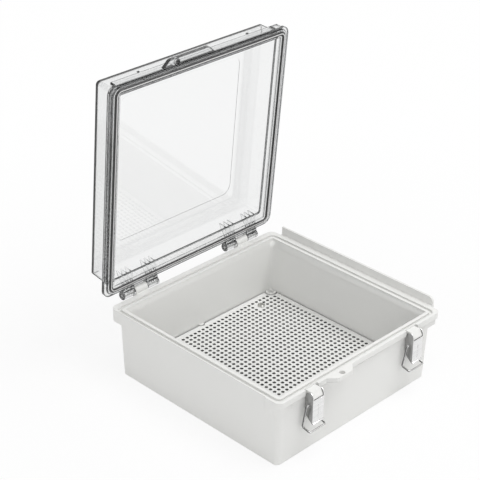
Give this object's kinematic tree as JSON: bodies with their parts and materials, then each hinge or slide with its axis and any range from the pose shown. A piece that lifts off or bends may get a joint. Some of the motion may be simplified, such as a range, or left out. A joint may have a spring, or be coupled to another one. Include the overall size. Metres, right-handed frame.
{
  "type": "hinged enclosure",
  "caption": "Square hinged enclosure with a deep clear lid, an overhanging rim with a rain hood, wire draw latches, a seal and a perforated mounting panel",
  "frame": {"origin": "centre of the base's underside, which is the face that stands against a wall or on a bench", "axes": "+Z from the underside to the lid, -Y the latch side, +Y the hinge side, +X the side with the rain hood"},
  "size_m": [0.317, 0.3549, 0.4226],
  "materials": {
    "body_plastic": "fine moulded satin, light warm grey",
    "clear_lid": "clear, polished moulding",
    "gasket": "matte foamed seal",
    "panel_plastic": "satin",
    "brass_insert": "turned",
    "screw_steel": "plated",
    "stainless": "bright stainless"
  },
  "bodies": {
    "base": {"base_shell": "body_plastic", "mounting_panel": "panel_plastic", "panel_screw_1": "screw_steel", "panel_screw_2": "screw_steel", "panel_screw_3": "screw_steel", "panel_screw_4": "screw_steel", "panel_insert_1": "brass_insert", "panel_insert_2": "brass_insert", "panel_insert_3": "brass_insert", "panel_insert_4": "brass_insert", "hinge_pin_left": "stainless", "hinge_pin_right": "stainless", "latch_pivot_pin_left": "stainless", "latch_pivot_pin_right": "stainless"},
    "lid": {"lid_shell": "clear_lid", "lid_gasket": "gasket"},
    "lever_left": {"latch_lever_left": "stainless"},
    "lever_right": {"latch_lever_right": "stainless"},
    "bail_left": {"latch_bail_left": "stainless"},
    "bail_right": {"latch_bail_right": "stainless"}
  },
  "joints": [
    {"name": "lid_hinge", "type": "hinge", "parent": "base", "child": "lid", "pos_m": [0, 0.168, 0.098], "axis": [1, 0, 0], "range_deg": [0, 85]},
    {"name": "lever_left_pivot", "type": "hinge", "parent": "base", "child": "lever_left", "pos_m": [-0.0885, -0.1536, 0.089], "axis": [-1, 0, 0], "range_deg": [0, 180]},
    {"name": "lever_right_pivot", "type": "hinge", "parent": "base", "child": "lever_right", "pos_m": [0.1015, -0.1536, 0.089], "axis": [-1, 0, 0], "range_deg": [0, 180]},
    {"name": "bail_left_pivot", "type": "hinge", "parent": "lever_left", "child": "bail_left", "pos_m": [-0.0885, -0.152, 0.0755], "axis": [-1, 0, 0], "range_deg": [0, 176.3]},
    {"name": "bail_right_pivot", "type": "hinge", "parent": "lever_right", "child": "bail_right", "pos_m": [0.1015, -0.152, 0.0755], "axis": [-1, 0, 0], "range_deg": [0, 176.3]}
  ]
}
